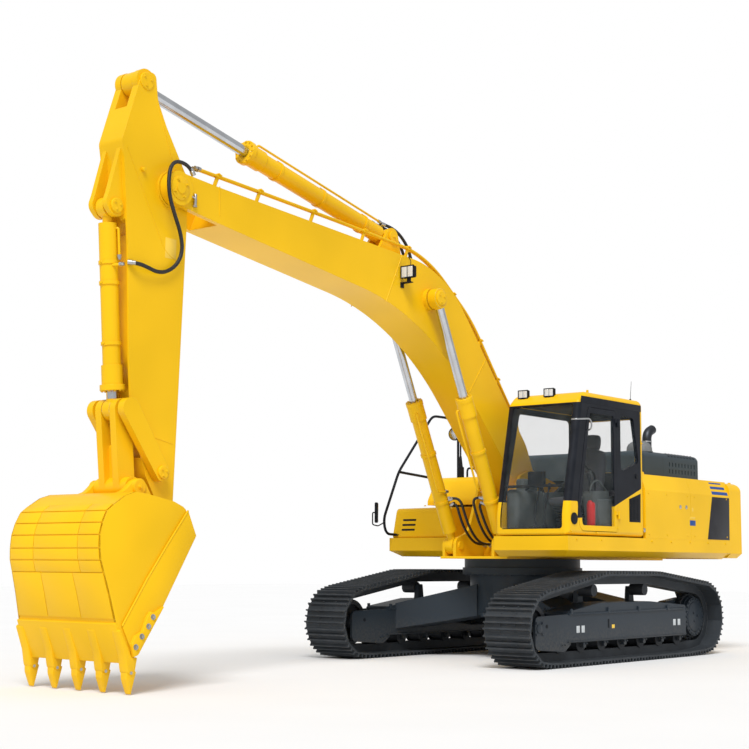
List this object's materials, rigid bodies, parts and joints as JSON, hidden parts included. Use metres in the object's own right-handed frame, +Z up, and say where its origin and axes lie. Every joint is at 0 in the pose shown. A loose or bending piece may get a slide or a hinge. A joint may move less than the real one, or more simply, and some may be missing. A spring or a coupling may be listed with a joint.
{
  "type": "crawler excavator",
  "caption": "Crawler excavator on steel tracks with a slewing cab and engine house, bent boom, arm, cylinders and a toothed bucket standing on the ground.",
  "frame": {"origin": "on the ground under the slewing axis", "axes": "+X forward towards the bucket, +Y to the left, the cab side, +Z up"},
  "size_m": [10.8647, 3.19, 5.7548],
  "materials": {
    "charcoal": "satin",
    "chrome_rod": "polished",
    "console_plastic": "satin",
    "dark_frame": "satin",
    "engine_grey": "satin",
    "exhaust_steel": "satin",
    "glass": "clear",
    "hood_grey": "satin",
    "seat_fabric": "satin",
    "track_steel": "satin",
    "yellow": "gloss"
  },
  "bodies": {
    "undercarriage": {"car_body": "dark_frame", "track_frame_left": "dark_frame", "track_frame_right": "dark_frame", "track_left": "track_steel", "track_right": "track_steel", "idlers": "dark_frame", "rollers_left": "dark_frame", "rollers_right": "dark_frame", "sprockets": "dark_frame", "final_drives": "dark_frame"},
    "house": {"slew_ring": "dark_frame", "revolving_frame": "yellow", "deck_left": "yellow", "deck_right": "yellow", "counterweight": "yellow", "engine_block": "engine_grey", "body_panels_left": "yellow", "body_panels_right": "yellow", "hood": "hood_grey", "exhaust": "exhaust_steel", "tool_box": "yellow", "fuel_tank": "yellow", "cab_lower": "yellow", "cab_pillars": "charcoal", "cab_roof": "yellow", "cab_glass": "glass", "seat": "seat_fabric", "consoles": "console_plastic"},
    "cab_door": {"door_frame": "charcoal", "door_panel": "yellow", "door_glass": "glass"},
    "boom": {"boom": "yellow"},
    "arm": {"arm": "yellow"},
    "bucket": {"bucket": "yellow", "bucket_teeth": "yellow"},
    "side_links": {"side_links": "yellow"},
    "h_link": {"h_link": "yellow"},
    "boom_cylinder_barrel": {"boom_cylinder_barrel": "yellow"},
    "boom_cylinder_rod": {"boom_cylinder_rod": "chrome_rod"},
    "arm_cylinder_barrel": {"arm_cylinder_barrel": "yellow"},
    "arm_cylinder_rod": {"arm_cylinder_rod": "chrome_rod"},
    "bucket_cylinder_barrel": {"bucket_cylinder_barrel": "yellow"},
    "bucket_cylinder_rod": {"bucket_cylinder_rod": "chrome_rod"}
  },
  "joints": [
    {"name": "slewing", "type": "hinge", "parent": "undercarriage", "child": "house", "pos_m": [0, 0, 1.085], "axis": [0, 0, 1], "continuous": true},
    {"name": "cab_door_hinge", "type": "hinge", "parent": "house", "child": "cab_door", "pos_m": [0.213, 1.5135, 2.2], "axis": [0, 0, 1], "range_deg": [0, 165]},
    {"name": "boom_lift", "type": "hinge", "parent": "house", "child": "boom", "pos_m": [0.31, 0, 2.1], "axis": [0, -1, 0], "range_deg": [-68.4, 28.1]},
    {"name": "arm_swing", "type": "hinge", "parent": "boom", "child": "arm", "pos_m": [6.25681, 0, 4.6488], "axis": [0, -1, 0], "range_deg": [-32.5, 89.8]},
    {"name": "bucket_curl", "type": "hinge", "parent": "arm", "child": "bucket", "pos_m": [6.2846, 0, 1.46392], "axis": [0, -1, 0], "range_deg": [-150, 8]},
    {"name": "boom_cylinder_swing", "type": "hinge", "parent": "house", "child": "boom_cylinder_barrel", "pos_m": [0.96, 0, 1.35], "axis": [0, -1, 0], "range_deg": [-68.4, 28.7]},
    {"name": "boom_cylinder_slide", "type": "slide", "parent": "boom_cylinder_barrel", "child": "boom_cylinder_rod", "axis": [0.4276, 0, 0.904], "range_m": [-1.097, 0.457]},
    {"name": "arm_cylinder_swing", "type": "hinge", "parent": "boom", "child": "arm_cylinder_barrel", "pos_m": [2.79963, 0, 4.80011], "axis": [0, -1, 0], "range_deg": [-1.3, 1.9]},
    {"name": "arm_cylinder_slide", "type": "slide", "parent": "arm_cylinder_barrel", "child": "arm_cylinder_rod", "axis": [0.9767, 0, 0.2145], "range_m": [-1.421, 0.521]},
    {"name": "bucket_cylinder_swing", "type": "hinge", "parent": "arm", "child": "bucket_cylinder_barrel", "pos_m": [6.90417, 0, 4.38044], "axis": [0, -1, 0], "range_deg": [-1.3, 7]},
    {"name": "bucket_cylinder_slide", "type": "slide", "parent": "bucket_cylinder_barrel", "child": "bucket_cylinder_rod", "axis": [-0.0771, 0, -0.997], "range_m": [-0.076, 1.254]},
    {"name": "side_link_swing", "type": "hinge", "parent": "arm", "child": "side_links", "pos_m": [6.36036, 0, 1.94961], "axis": [0, -1, 0], "range_deg": [-125.9, 7.7]},
    {"name": "h_link_swing", "type": "hinge", "parent": "bucket", "child": "h_link", "pos_m": [6.68968, 0, 1.80047], "axis": [0, -1, 0], "range_deg": [-6.6, 106.2]}
  ],
  "couplings": [
    {"joint": "boom_cylinder_swing", "follows": "boom_lift", "ratio": 0.9853},
    {"joint": "boom_cylinder_slide", "follows": "boom_lift", "m_per_rad": 0.9108},
    {"joint": "arm_cylinder_swing", "follows": "arm_swing", "ratio": 0.0105},
    {"joint": "arm_cylinder_slide", "follows": "arm_swing", "m_per_rad": -0.9004},
    {"joint": "bucket_cylinder_swing", "follows": "bucket_curl", "ratio": -0.0398},
    {"joint": "bucket_cylinder_slide", "follows": "bucket_curl", "m_per_rad": -0.4753},
    {"joint": "side_link_swing", "follows": "bucket_curl", "ratio": 0.8326},
    {"joint": "h_link_swing", "follows": "bucket_curl", "ratio": -0.7012}
  ]
}
